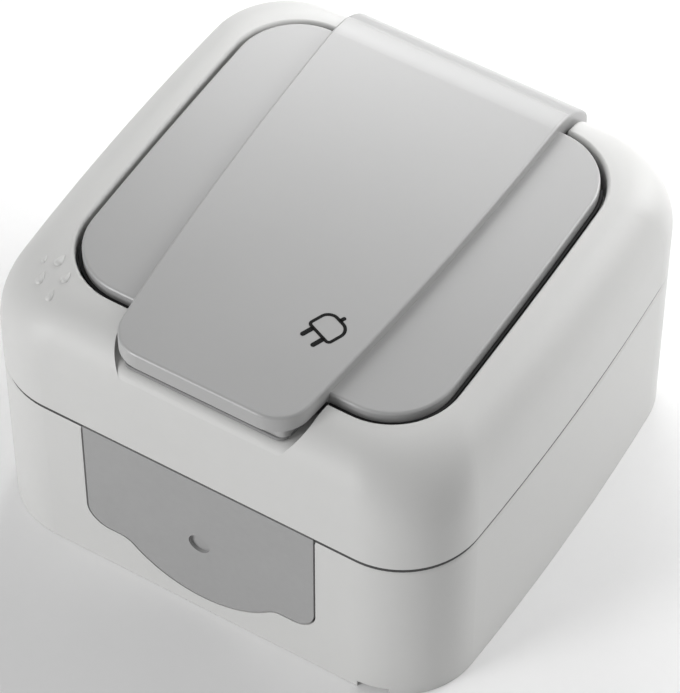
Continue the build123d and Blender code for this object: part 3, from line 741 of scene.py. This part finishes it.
def add_prism(shape, outer, inner=None):
    """Flat sheet of ink inside an outline, or between two."""
    rings = []
    for outline in (outer, inner) if inner else (outer,):
        low = [shape.verts.new((p.x, p.y, 0)) for p in outline]
        high = [shape.verts.new((p.x, p.y, INK_MM)) for p in outline]
        rings.append((low, high))
    count = len(outer)
    for index in range(count):
        after = (index + 1) % count
        low, high = rings[0]
        shape.faces.new((low[index], low[after], high[after], high[index]))
        if inner:
            inner_low, inner_high = rings[1]
            shape.faces.new((inner_low[after], inner_low[index], inner_high[index], inner_high[after]))
            shape.faces.new((high[index], high[after], inner_high[after], inner_high[index]))
            shape.faces.new((low[after], low[index], inner_low[index], inner_low[after]))
    if not inner:
        shape.faces.new(rings[0][1])
        shape.faces.new(list(reversed(rings[0][0])))


def bar(x, low, high, width):
    """Corners of an upright bar with round ends."""
    half = width / 2
    return [(x - half, low, half), (x + half, low, half), (x + half, high, half), (x - half, high, half)]


def add_symbol():
    half = SYMBOL_WIDTH_MM / 2
    stroke = SYMBOL_STROKE_MM / 2
    body = [
        (-half, 0, SYMBOL_FRONT_RADIUS_MM),
        (half, 0, SYMBOL_FRONT_RADIUS_MM),
        (half, SYMBOL_DEPTH_MM, SYMBOL_BACK_RADIUS_MM),
        (-half, SYMBOL_DEPTH_MM, SYMBOL_BACK_RADIUS_MM),
    ]
    shape = bmesh.new()
    add_prism(shape, rounded_outline(body, stroke), rounded_outline(body, -stroke))
    for x in (-SYMBOL_PIN_SPACING_MM / 2, SYMBOL_PIN_SPACING_MM / 2):
        pin = bar(x, -SYMBOL_PIN_LENGTH_MM, 0, SYMBOL_PIN_WIDTH_MM)
        add_prism(shape, rounded_outline(pin, 0))
    cord = bar(0, SYMBOL_DEPTH_MM, SYMBOL_DEPTH_MM + SYMBOL_CORD_LENGTH_MM, SYMBOL_CORD_WIDTH_MM)
    add_prism(shape, rounded_outline(cord, 0))
    top_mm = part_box("lid")[1][2] / MM
    place = Matrix.Translation((*SYMBOL_PLACE_MM, top_mm)) @ Matrix.Rotation(radians(SYMBOL_TURN), 4, "Z")
    shape.transform(Matrix.Scale(MM, 4) @ place)
    mesh = bpy.data.meshes.new("plug_symbol")
    shape.to_mesh(mesh)
    shape.free()
    mesh.materials.append(ink)
    mesh_piece("plug_symbol", mesh, "lid")


add_screws()
add_drops()
add_shade_strips()
add_spring()
add_symbol()

# Camera at the photograph's place
camera_data = bpy.data.cameras.new("camera")
camera_data.sensor_width = SENSOR_MM
camera_data.lens = CAMERA_FOCAL_PIXELS * SENSOR_MM / max(PHOTO_WIDTH, PHOTO_HEIGHT)
camera = bpy.data.objects.new("camera", camera_data)
camera.location = Vector(CAMERA_EYE_MM) * MM
camera.rotation_euler = (radians(90 - CAMERA_ELEVATION), 0, radians(CAMERA_AZIMUTH))
scene.collection.objects.link(camera)
scene.camera = camera

# Floor and light
bpy.ops.mesh.primitive_plane_add(size=FLOOR_SIZE, location=(0, 0, -FLOOR_DROP_MM * MM))
floor = bpy.context.object
floor.name = "floor"
floor.data.materials.append(moulded_plastic("pale_floor", FLOOR_COLOUR, FLOOR_ROUGHNESS))

world = bpy.data.worlds.new("studio")
world.use_nodes = True
sky = world.node_tree.nodes["Background"].inputs
sky["Color"].default_value = (1.0, 1.0, 1.0, 1.0)
sky["Strength"].default_value = SKY_STRENGTH
scene.world = world
scene.view_settings.view_transform = "Standard"


def softbox(name, place_mm, target_mm, size_mm, power):
    """Square lamp at a place, turned to its target."""
    lamp_data = bpy.data.lights.new(name, "AREA")
    lamp_data.shape = "SQUARE"
    lamp_data.size = size_mm * MM
    lamp_data.energy = power
    lamp = bpy.data.objects.new(name, lamp_data)
    place = Vector(place_mm) * MM
    lamp.location = place
    lamp.visible_camera = False
    lamp.rotation_euler = (place - Vector(target_mm) * MM).to_track_quat("Z", "Y").to_euler()
    scene.collection.objects.link(lamp)


for lamp in SOFTBOXES:
    softbox(*lamp)
